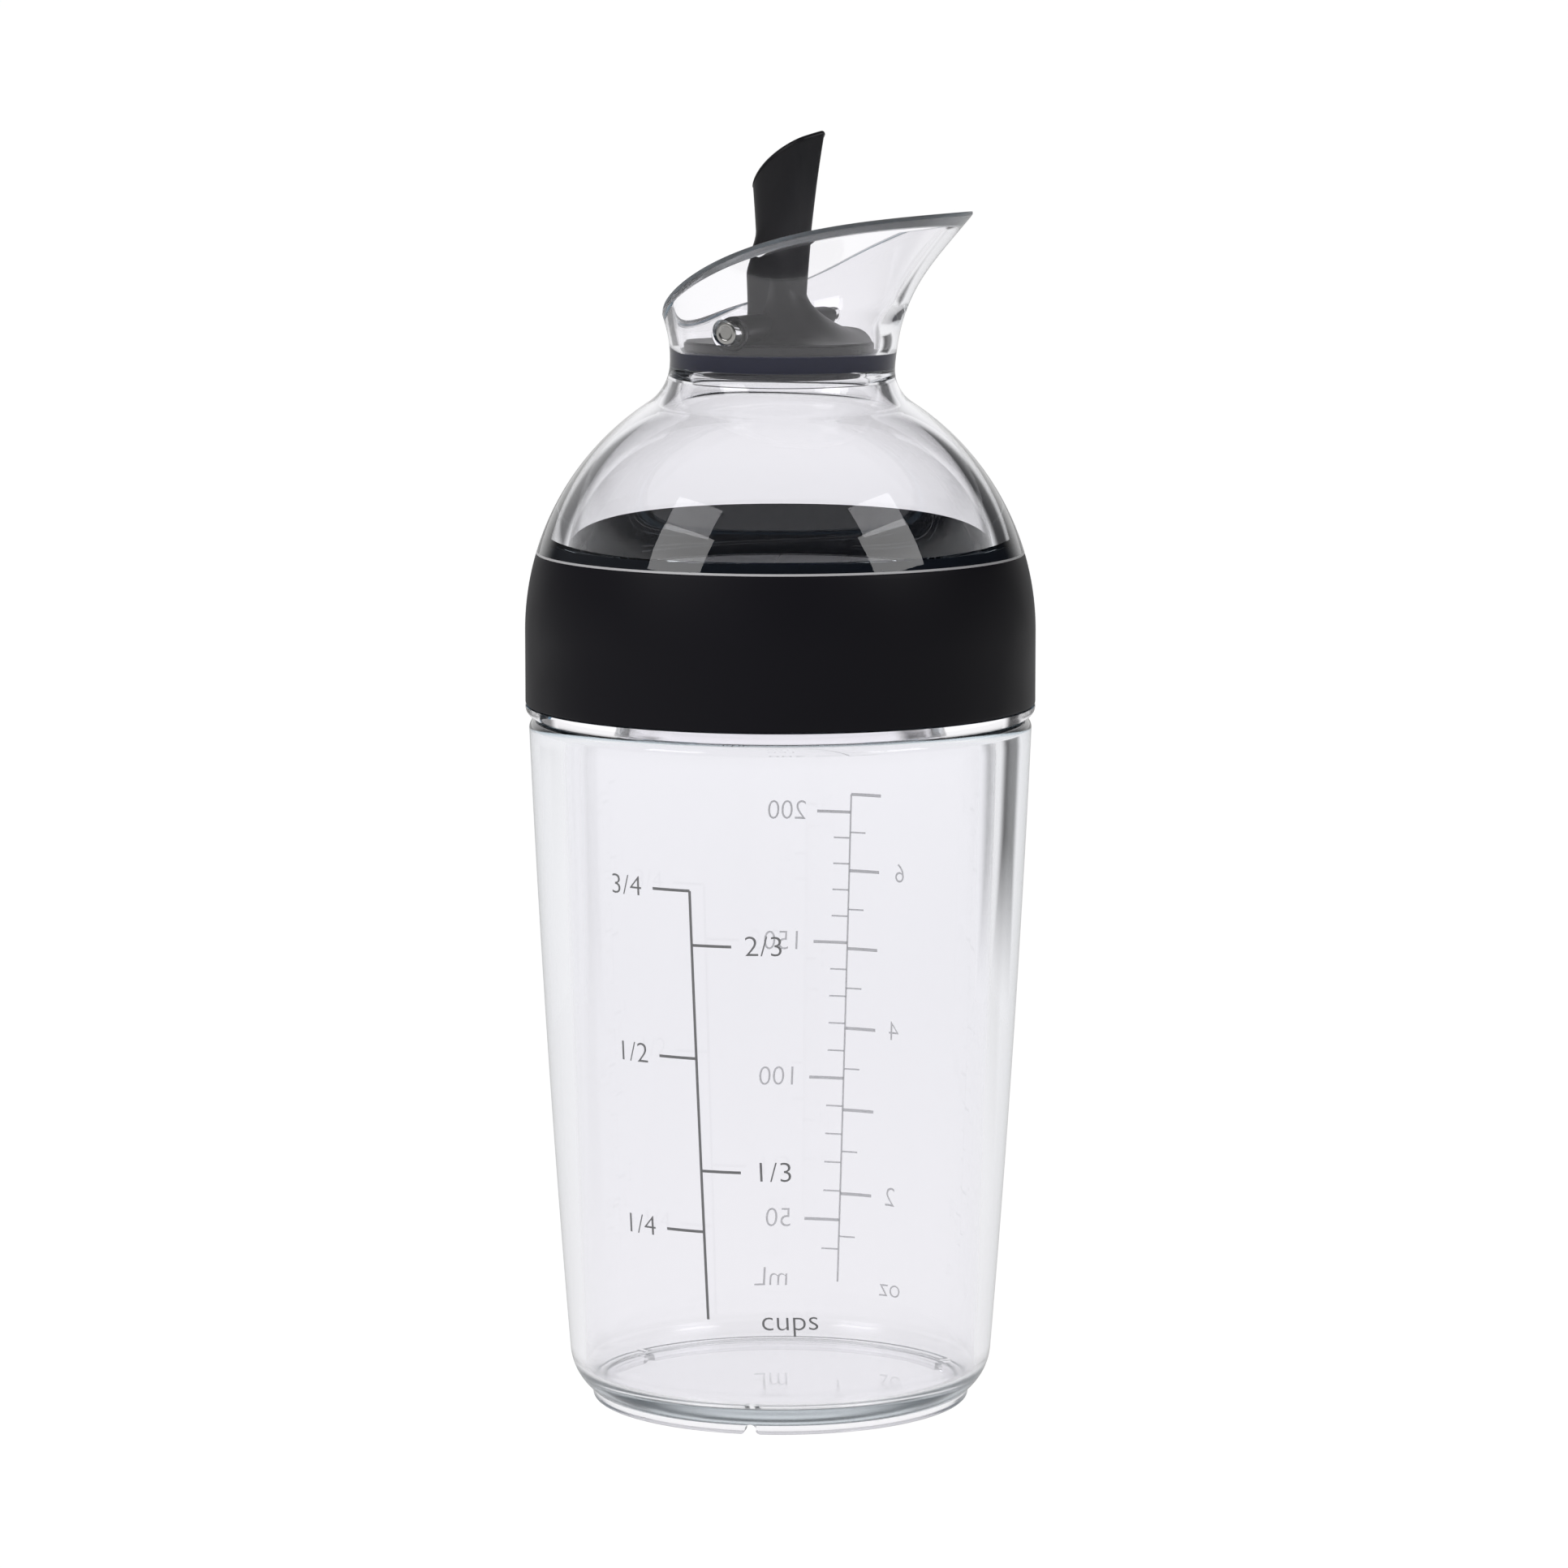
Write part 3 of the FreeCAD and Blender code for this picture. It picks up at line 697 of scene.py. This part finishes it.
# The rim is rougher and less clear, and its tint is darkened to three quarters as painted shade.
lid_finishes = [clear_plastic, clear_finish("clear copolyester rim with painted shade", (0.3, 0.4), 0.85, shade=0.75),
                # The edge is nearly opaque pale plastic (clarity 0.1): a painted highlight, a thin bright
                # line along the dome's foot.
                clear_finish("clear copolyester painted highlight edge", (0.3, 0.4), 0.1),
                # The lip is a lightened copy of the clear plastic, index 1.08 and no blue-grey depth, so it
                # shows the bright floor through it: painted light for the light that the solid lip carries.
                clear_finish("lightened clear copolyester lip", (0.05, 0.1), 1, bend=1.08, density=0)]
for lid_finish in lid_finishes:
    lid.data.materials.append(lid_finish)
rim_lowest = 148
rim_half = 0.3
lip_start = 0.1
for face in lid.data.polygons:
    height = face.center.z
    outward = face.normal.xy.dot(face.center.xy) > 0
    if height > rim_lowest * mm and abs(height - rim_height(face.center.x)) < rim_half * mm:
        face.material_index = shaded_rim_slot
    elif abs(height - (band_top + edge_height / 2) * mm) < edge_height / 2 * mm and face.normal.z > 0:
        face.material_index = painted_highlight_slot
    elif (lid_bottom + lip_start) * mm < height < band_bottom * mm and outward:
        face.material_index = lightened_lip_slot
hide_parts("dome_spout")
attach(lid, "lid")

# Grip band: the soft ring that the hand holds to unscrew the lid.
# Black thermoplastic elastomer, moulded over the lid's skirt so that it lies flush with the dome.
# The faces that are bonded to the clear plastic have no gloss of their own.
over_skirt = -0.03
band_gap = 0.02
band_round = 0.5
band_side = at(band_radius, spring_height)
inner_arc = dome_radius - band_thickness + over_skirt
inner_spring = at(skirt_outer + over_skirt, spring_height)
inner_foot = at(skirt_outer + over_skirt, band_bottom + band_gap)
inner_top = on_circle(dome_centre, inner_arc, band_top + band_lap - over_skirt)
outer_top = on_circle(dome_centre, dome_radius, band_top - 0.3)
top_edge = dome_foot + (skirt_top - dome_foot) * 0.3 - 1j * over_skirt * mm
outline = straight(inner_foot, at(band_radius - band_round, band_bottom + band_gap), 2)
outline += rounded(at(band_radius, band_bottom), -1, 1j, band_round, 8)
outline += straight(at(band_radius, band_bottom + band_round), band_side, 10)
outline += about(dome_centre, band_side, outer_top, 24)
outline += bowed(outer_top, top_edge, -0.06, 5)
outline += straight(top_edge, inner_top, 2)
outline += about(dome_centre, inner_top, inner_spring, 12)
outline += straight(inner_spring, inner_foot, 4)
band = piece("grip_band_ring", turned(outline))
for name, base, gloss, colours, grain_depth in (
        ("black elastomer", (0.012, 0.012, 0.014), 0.2,
         ((0.0105, 0.0098, 0.014), (0.0125, 0.0118, 0.0165)), 3e-6),
        ("bonded black elastomer", (0.01, 0.012, 0.016), 0,
         ((0.008, 0.011, 0.017), (0.011, 0.014, 0.02)), 8e-6)):
    soft_black, tree, shader = finish(name, base, 0.5)
    shader.inputs["Specular IOR Level"].default_value = gloss
    moulded_skin(tree, shader, 2500, 60, (0.42, 0.54), colours, grain_depth)
    band.data.materials.append(soft_black)
for face in band.data.polygons:
    if face.center.z > band_top * mm or face.normal.xy.dot(face.center.xy) < 0:
        face.material_index = 1
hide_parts("grip_band")
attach(band, "lid")

# Rim seal: the flat ring under the lid's ledge that the tumbler's rim presses on.
# Translucent silicone, pushed into the lid by hand, so it comes out for washing.
seal_inner = 30.2
seal_outer = 32.2
seal_round = 0.3
outline = []
for spot, before, after in ((at(seal_inner, neck_top), 1j, 1), (at(seal_outer, neck_top), -1, 1j),
                            (at(seal_outer, ledge), -1j, -1), (at(seal_inner, ledge), 1, -1j)):
    outline += rounded(spot, before, after, seal_round, 5) + [spot + after * seal_round * mm]
seal = piece("rim_seal_ring", turned(outline))
silicone, tree, shader = finish("translucent silicone", (0.85, 0.86, 0.88), 0.3)
shader.inputs["IOR"].default_value = 1.41
shader.inputs["Transmission Weight"].default_value = 0.8
moulded_skin(tree, shader, 1500, 80, (0.2, 0.35), ((0.82, 0.83, 0.86), (0.9, 0.9, 0.92)), 4e-6)
seal.data.materials.append(silicone)
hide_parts("rim_seal")
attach(seal, "lid_seal")

# Lever: an upright blade that flares down into the stopper's flange and turns on a barrel across the throat.
# Black plastic with a satin skin, one moulding; two facets on the spout's side of its blade meet in a keel.
flange_top = 147.0
flange_bottom = 145.5
flange_radius = 12.87
flange_flat = 12.55
flange_round = 0.35
gasket_bottom = 142.9
post_radius = 9.5
spigot_radius = 5.0
spigot_bore = spigot_radius + 0.02
socket_top = gasket_bottom + 1.6
flare_top = 157.6
flare_radius = 12.1
barrel_radius = 2.4
lever_top = 175.6
keel_reach = 7.0
facet_turn = math.radians(33)
facet_cut = 0.42
facet_round = 0.2
top_round = 0.7
blade_segments = 120
blade_levels = 40
round_levels = 8
blade_foot = (flange_top - 0.5) * mm
blade_tip = at(keel_reach, lever_top)
blade_ridge = bowed(at(-3.9, 168.0), blade_tip, 0.8, 24) + [blade_tip]
stem_depth, depth_growth = 3.4, 2.0
stem_width, width_growth = 2.8, 1.2
stem_centre, centre_growth = 0.3, 1.2
stem_swell = 1.7
swell_top = 161
swell_foot = 157


def blade_top(x):
    """Height in metres of the blade's slanting top above a place along X."""
    way = (x - blade_ridge[0].real) / (blade_ridge[-1].real - blade_ridge[0].real)
    low = min(max(int(way * (len(blade_ridge) - 1)), 0), len(blade_ridge) - 2)
    step = blade_ridge[low + 1] - blade_ridge[low]
    return blade_ridge[low].imag + step.imag / step.real * (x - blade_ridge[low].real)


def faced_off(spot, grown, centre, depth, width):
    """Brings a point of the blade's oval behind the facet on its side, with a soft crease; in millimetres."""
    outwards = cmath.exp(1j * math.copysign(facet_turn, spot.imag))
    reach = centre * outwards.real + math.hypot(depth * outwards.real, width * outwards.imag)
    reach -= facet_cut * max(2 * grown - 1, 0)
    past = (spot * outwards.conjugate()).real - reach
    return spot - outwards * (past + math.hypot(past, facet_round)) / 2


levels = [(i / blade_levels, 0, 0) for i in range(blade_levels)]
for i in range(round_levels + 1):
    turn = math.radians(90) * i / round_levels
    levels.append((1, top_round * (1 - math.cos(turn)), top_round * (1 - math.sin(turn))))
levels += [(1, inset, 0) for inset in (1.2, 2.0, 2.8, 3.4)]
blade = bmesh.new()
ring = bmesh.ops.create_circle(blade, segments=blade_segments, radius=1)["verts"]
edges = blade.edges[:]
for i, (grown, inset, sunk) in enumerate(levels):
    if i:
        added = bmesh.ops.extrude_edge_only(blade, edges=edges)["geom"]
        ring = [g for g in added if isinstance(g, bmesh.types.BMVert)]
        edges = [g for g in added if isinstance(g, bmesh.types.BMEdge) and all(v in ring for v in g.verts)]
    back_height = (blade_foot + (blade_ridge[0].imag - blade_foot) * grown) / mm
    swell = stem_swell * (1 - eased(back_height, swell_foot, swell_top))
    depth = stem_depth + depth_growth * grown**2 + swell / 2 - inset
    width = stem_width + width_growth * grown**3 - inset
    centre = stem_centre + centre_growth * grown**2 - swell / 2
    for n, point in enumerate(ring):
        turn = math.tau * n / blade_segments
        oval = complex(centre + depth * math.cos(turn), width * math.sin(turn))
        spot = faced_off(oval, grown, centre, depth, width) * mm
        rise = (blade_top(spot.real) - sunk * mm - blade_foot) * grown
        point.co = (spot.real, spot.imag, blade_foot + rise)
bmesh.ops.holes_fill(blade, edges=blade.edges)
bmesh.ops.recalc_face_normals(blade, faces=blade.faces)
lever = piece("lever_moulding", blade)

flange_side = at(flange_radius, flange_top - flange_round)
outline = straight(at(0, flange_top), at(flange_flat, flange_top), 4)
outline += bowed(at(flange_flat, flange_top), flange_side, -0.1, 4)
flange_corners = [flange_side, at(flange_radius, flange_bottom), at(post_radius, flange_bottom),
                  at(post_radius, gasket_bottom), at(spigot_bore, gasket_bottom), at(spigot_bore, socket_top)]
for start, end in zip(flange_corners, flange_corners[1:]):
    outline += straight(start, end, 2)
outline += [at(spigot_bore, socket_top), at(0, socket_top)]
flange = piece("flange", turned(outline, closed=False, steps=128))
outline = [at(0, flare_top)] + bowed(at(3.0, flare_top), at(flare_radius, flange_top), -2.75, 24)
outline += [at(flare_radius, flange_top), at(flare_radius, flange_top - 0.3), at(0, flange_top - 0.3)]
flare_shell = turned(outline, closed=False, steps=128)
bmesh.ops.bisect_plane(flare_shell, geom=flare_shell.verts[:] + flare_shell.edges[:] + flare_shell.faces[:],
                       plane_co=(0, 0, 0), plane_no=(-1, 0, 0), clear_outer=True)
bmesh.ops.holes_fill(flare_shell, edges=flare_shell.edges)
bmesh.ops.recalc_face_normals(flare_shell, faces=flare_shell.faces)
barrel_shell = rod(barrel_radius, pocket_floor - 0.8)
barrel_ends = [e for e in barrel_shell.edges if abs(e.verts[0].co.y - e.verts[1].co.y) < 1e-6]
bmesh.ops.bevel(barrel_shell, geom=barrel_ends, offset=0.3 * mm, offset_type="OFFSET", affect="EDGES",
                segments=3, profile=0.5, material=-1)
joined(lever, "UNION", [flange, piece("flare", flare_shell), piece("barrel", barrel_shell)], sharp=30)
joined(lever, "DIFFERENCE", [piece("bore", rod(pin_radius + 0.05, 16))], sharp=30)
satin_black, tree, shader = finish("satin black plastic", (0.012, 0.012, 0.013), 0.4)
shader.inputs["Specular IOR Level"].default_value = 0.35
lever_colours = ((0.0145, 0.0138, 0.0168), (0.0165, 0.0158, 0.019))
moulded_skin(tree, shader, 1800, 90, (0.34, 0.46), lever_colours, 1.5e-6)
lever.data.materials.append(satin_black)
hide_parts("lever")
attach(lever, "stopper")

# Stopper gasket: the ring round the lever's post that shuts the throat; its edge follows its round seat.
# Navy-black silicone, stretched over the post and kept there by the flange above and the plug below.
gasket_edge = seat_radius + 0.03
gasket_round = 0.15
gasket_gap = 0.01
round_bow = 0.04
inner_high = at(9.52, flange_bottom - gasket_gap)
inner_low = at(9.52, gasket_bottom + gasket_gap)
edge_low = on_circle(pivot, gasket_edge, gasket_bottom + gasket_round)
edge_high = on_circle(pivot, gasket_edge, flange_bottom - gasket_round)
top_end = on_circle(pivot, gasket_edge, flange_bottom - gasket_gap) - gasket_round * mm
bottom_end = on_circle(pivot, gasket_edge, gasket_bottom + gasket_gap) - gasket_round * mm
outline = about(pivot, edge_low, edge_high, 10)
outline += bowed(edge_high, top_end, round_bow, 4)
outline += straight(top_end, inner_high, 2)
outline += straight(inner_high, inner_low, 2)
outline += straight(inner_low, bottom_end, 2)
outline += bowed(bottom_end, edge_low, round_bow, 4)
gasket = piece("stopper_gasket_ring", turned(outline, steps=192))
navy_silicone, tree, shader = finish("navy silicone", (0.012, 0.014, 0.045), 0.35)
shader.inputs["Specular IOR Level"].default_value = 0.15
moulded_skin(tree, shader, 1500, 100, (0.28, 0.4), ((0.010, 0.012, 0.038), (0.014, 0.016, 0.05)), 4e-6)
gasket.data.materials.append(navy_silicone)
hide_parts("stopper_gasket")
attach(gasket, "stopper")

# Plug base: the disc under the gasket, with a spigot that is pressed into the lever's post.
# Dark grey plastic, moulded, with a softly rounded lower edge.
base_bottom = 141.7
base_top = gasket_bottom - 0.02
base_edge = seat_radius - 0.6
base_round = 0.4
spigot_top = gasket_bottom + 1.58
base_side = on_circle(pivot, base_edge, base_top)
base_low = on_circle(pivot, base_edge, base_bottom + base_round)
base_floor = complex(base_low.real - base_round * mm, base_bottom * mm)
outline = straight(at(0, base_bottom), base_floor, 4)
outline += bowed(base_floor, base_low, -0.12, 6)
outline += about(pivot, base_low, base_side, 6)
outline += straight(base_side, at(spigot_radius, base_top), 2)
outline += straight(at(spigot_radius, base_top), at(spigot_radius, spigot_top), 2)
outline += [at(spigot_radius, spigot_top), at(0, spigot_top)]
plug = piece("plug_base_disc", turned(outline, closed=False, steps=192))
grey_plastic, tree, shader = finish("dark grey plastic", (0.05, 0.05, 0.056), 0.4)
shader.inputs["Specular IOR Level"].default_value = 0.25
moulded_skin(tree, shader, 1800, 90, (0.36, 0.48), ((0.044, 0.044, 0.05), (0.058, 0.058, 0.064)), 5e-6)
plug.data.materials.append(grey_plastic)
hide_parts("plug_base")
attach(plug, "stopper")

# Pivot pin: pressed through the spout's waist, it is the axle that the lever's barrel turns on.
# Stainless steel, turned, with rounded and polished ends that show flush in the clear wall.
pin_half = 15.71
end_round = 0.6
dimple_radius = 0.95
dimple_depth = 0.14
dimple_slope = 0.12
dimple_foot = at(dimple_radius - dimple_slope, dimple_depth)
dimple_edge = at(dimple_radius + dimple_slope, 0)
half = [at(0, dimple_depth)]
half += bowed(dimple_foot, dimple_edge, -0.03, 4)
half += straight(dimple_edge, at(pin_radius - end_round, 0), 2)
half += rounded(at(pin_radius, 0), -1, 1j, end_round, 10)
half += [at(pin_radius, end_round), at(pin_radius, pin_half / 2)]
outline = [p - at(0, pin_half) for p in half] + [at(0, pin_half) + p.conjugate() for p in reversed(half)]
pin = piece("pivot_pin_rod", along_pin(turned(outline, closed=False, steps=96)))
steel, tree, shader = finish("turned stainless steel", (0.6, 0.59, 0.57), 0.2)
shader.inputs["Metallic"].default_value = 1
moulded_skin(tree, shader, 4000, 300, (0.14, 0.26), ((0.56, 0.55, 0.53), (0.66, 0.65, 0.63)), 2e-6)
pin.data.materials.append(steel)
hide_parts("pivot_pin")
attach(pin, "lid")

# Studio: a pale floor, two softboxes, a fill lamp, and a sky that is white to the camera.
# In reflections the sky is white behind the bottle and dim in front of it, and the floor is grey.
# Two flags with soft edges stand behind the bottle's sides; they show as grey streaks in the clear plastic.
view_angle = math.radians(28)
to_right = Vector((math.cos(view_angle), math.sin(view_angle), 0))
to_camera = Vector((math.sin(view_angle), -math.cos(view_angle), 0))
white = (1, 1, 1, 1)
floor_size = 30
floor_drop = 0.05
floor_glow = 0.95
floor_mirrored = 0.45
floor_seen_through = (0.96, 1.06)
floor_distances = (0.35, 1.2)

floor_mesh = bmesh.new()
bmesh.ops.create_grid(floor_mesh, x_segments=1, y_segments=1, size=floor_size)
bmesh.ops.translate(floor_mesh, vec=(0, 0, -floor_drop * mm), verts=floor_mesh.verts)
floor = piece("floor", floor_mesh)
pale, tree, shader = finish("pale floor", (0.2, 0.2, 0.2), 0.8)
shader.inputs["Specular IOR Level"].default_value = 0
path = tree.nodes.new("ShaderNodeLightPath")
distance = tree.nodes.new("ShaderNodeVectorMath")
distance.operation = "LENGTH"
tree.links.new(tree.nodes.new("ShaderNodeTexCoord").outputs["Object"], distance.inputs[0])
seen_through = figured(tree, "MULTIPLY", path.outputs["Is Transmission Ray"],
                       ranged(tree, distance.outputs["Value"], *floor_distances, *floor_seen_through))
mirrored = figured(tree, "MULTIPLY", path.outputs["Is Glossy Ray"], floor_mirrored)
indirect = figured(tree, "MAXIMUM", seen_through, mirrored)
seen = figured(tree, "MAXIMUM", path.outputs["Is Camera Ray"], indirect)
shader.inputs["Emission Color"].default_value = white
tree.links.new(figured(tree, "MULTIPLY", seen, floor_glow), shader.inputs["Emission Strength"])
floor.data.materials.append(pale)


def leaning(tree, place, way):
    """How far a place or direction reaches along a given way."""
    node = tree.nodes.new("ShaderNodeVectorMath")
    node.operation = "DOT_PRODUCT"
    node.inputs[1].default_value = way
    tree.links.new(place, node.inputs[0])
    return node.outputs["Value"]


flag_distance = 0.4
flag_half = 0.1
flag_height = 0.5
flag_edges = (0.035, 0.095)
upwards = Vector((0, 0, 1))
for name, side, low, high, darkest in (("right_flag", 1, 0, 0.035, 0.06),
                                       ("left_flag", -1, 0.04, 0.08, 0.25)):
    flag_way = (to_right * side * 0.6 - to_camera * 0.8).normalized()
    flag_side = flag_way.cross(upwards)
    flag_mesh = bmesh.new()
    corners = [flag_way * flag_distance + flag_side * across + upwards * height for across, height in
               ((-flag_half, 0), (flag_half, 0), (flag_half, flag_height), (-flag_half, flag_height))]
    flag_mesh.faces.new([flag_mesh.verts.new(corner) for corner in corners])
    flag = piece(name, flag_mesh)
    grey, tree, shader = finish(name, (0.02, 0.02, 0.024), 0.9)
    place = tree.nodes.new("ShaderNodeTexCoord").outputs["Object"]
    off_centre = figured(tree, "ABSOLUTE", leaning(tree, place, flag_side), 0)
    edges = ranged(tree, off_centre, *flag_edges, darkest, 1)
    foot = ranged(tree, leaning(tree, place, upwards), low, high, 1, 0)
    shader.inputs["Emission Color"].default_value = white
    tree.links.new(figured(tree, "MAXIMUM", edges, foot), shader.inputs["Emission Strength"])
    flag.data.materials.append(grey)
    flag.visible_camera = False
    flag.visible_diffuse = False
    flag.visible_glossy = False
    flag.visible_shadow = False

world = bpy.data.worlds.new("studio sky")
bpy.context.scene.world = world
world.use_nodes = True
sky = world.node_tree
direction = sky.nodes.new("ShaderNodeTexCoord").outputs["Generated"]
front_to_back = ranged(sky, leaning(sky, direction, to_camera), -0.95, -0.7, 0.95, 0.04)
right_shade = ranged(sky, leaning(sky, direction, to_right), 0.3, 0.8, 1, 0.4)
left_bank = ranged(sky, leaning(sky, direction, -to_right), 0.6, 0.95, 0, 0.1)
studio = figured(sky, "ADD", figured(sky, "MULTIPLY", front_to_back, right_shade), left_bank)
path = sky.nodes.new("ShaderNodeLightPath")
horizon = figured(sky, "MULTIPLY", ranged(sky, leaning(sky, direction, upwards), 0.08, 0.3, 1, 0),
                  path.outputs["Is Transmission Ray"])
level = figured(sky, "MAXIMUM", figured(sky, "MAXIMUM", studio, horizon), path.outputs["Is Camera Ray"])
sky_light = sky.nodes["Background"]
sky_light.inputs["Color"].default_value = white
sky.links.new(level, sky_light.inputs["Strength"])


def aimed(name, data, spot, way):
    """Lamp or camera that stands at a spot and looks along a way."""
    made = bpy.data.objects.new(name, data)
    made.location = spot
    made.rotation_euler = way.to_track_quat("-Z", "Y").to_euler()
    bpy.context.scene.collection.objects.link(made)
    return made


for side in (-1.35, 1.75):
    box_data = bpy.data.lights.new("softbox", "AREA")
    box_data.shape = "RECTANGLE"
    box_data.size = 0.45
    box_data.size_y = 0.3
    box_data.energy = 1.4
    box_way = (to_camera + to_right * side).normalized() * 0.84 + Vector((0, 0, 0.545))
    box = aimed("softbox", box_data, box_way + Vector((0, 0, 0.1)), -box_way)
    box.visible_camera = False

lamp_data = bpy.data.lights.new("fill lamp", "SUN")
lamp_data.energy = 1
lamp_data.angle = math.radians(70)
lamp_way = -to_right * 0.6 + to_camera * 0.9 + upwards
lamp = aimed("fill lamp", lamp_data, Vector((0, 0, 0)), -lamp_way)
lamp.visible_glossy = False
lamp.visible_transmission = False
bpy.context.scene.cycles.max_bounces = 32
bpy.context.scene.cycles.transmission_bounces = 32
bpy.context.scene.cycles.glossy_bounces = 16

# Camera: the photograph's view, from a little above the lid's band and turned towards the spout's side.
# A long lens from about 0.9 metres, so that the bottle's upright edges stay nearly parallel.
camera_data = bpy.data.cameras.new("camera")
camera_data.lens = 144.54
camera_data.sensor_width = 36
pan = to_right * 0.0005
camera_spot = to_camera * 0.86 + Vector((0, 0, 0.2012)) + pan
camera_goal = Vector((0, 0, 0.0856)) + pan
bpy.context.scene.camera = aimed("camera", camera_data, camera_spot, camera_goal - camera_spot)
bpy.context.scene.view_settings.view_transform = "Standard"
